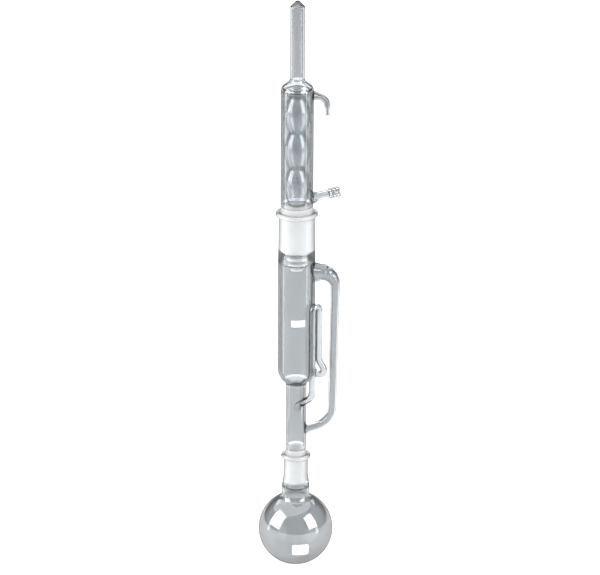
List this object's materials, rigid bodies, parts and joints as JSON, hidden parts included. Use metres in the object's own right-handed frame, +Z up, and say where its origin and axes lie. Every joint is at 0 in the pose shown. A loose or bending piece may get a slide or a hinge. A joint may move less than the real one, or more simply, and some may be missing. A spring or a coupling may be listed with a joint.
{
  "type": "soxhlet extraction apparatus",
  "caption": "Clear glass extraction apparatus: round flask, siphoning thimble chamber with side vapour arm, and a bulb condenser, stacked on two ground joints.",
  "frame": {"origin": "lowest point of the round flask, on the common axis of flask, extractor and condenser", "axes": "+Z up along the common axis, +X towards the vapour arm and the hose ends, -Y towards the front, where the writing patches are"},
  "size_m": [0.0757, 0.0705, 0.5528],
  "materials": {
    "clear_glass": "clear fire-polished borosilicate glass, faintly grey-green in the wall",
    "ground_glass": "clear borosilicate glass, with the tapered joint face finely ground to a white frost",
    "white_enamel": "matt white enamel fired onto the glass"
  },
  "bodies": {
    "flask": {"flask_bulb": "clear_glass", "flask_socket": "ground_glass", "flask_label": "white_enamel"},
    "extractor": {"extractor_cone": "ground_glass", "stem_tube": "clear_glass", "thimble_chamber": "clear_glass", "extractor_socket": "ground_glass", "chamber_label": "white_enamel", "vapour_arm": "clear_glass", "siphon_riser": "clear_glass", "siphon_return": "clear_glass", "siphon_bridge": "clear_glass"},
    "condenser": {"condenser_cone": "ground_glass", "condenser_drip_tip": "clear_glass", "cooling_jacket": "clear_glass", "jacket_shoulder": "clear_glass", "bulb_tube": "clear_glass", "water_inlet": "clear_glass", "water_outlet": "clear_glass", "vent_tube": "clear_glass"}
  },
  "joints": [
    {"name": "extractor_lift", "type": "slide", "parent": "flask", "child": "extractor", "axis": [0, 0, 1], "range_m": [0, 0.04]},
    {"name": "condenser_lift", "type": "slide", "parent": "extractor", "child": "condenser", "axis": [0, 0, 1], "range_m": [0, 0.065]}
  ]
}
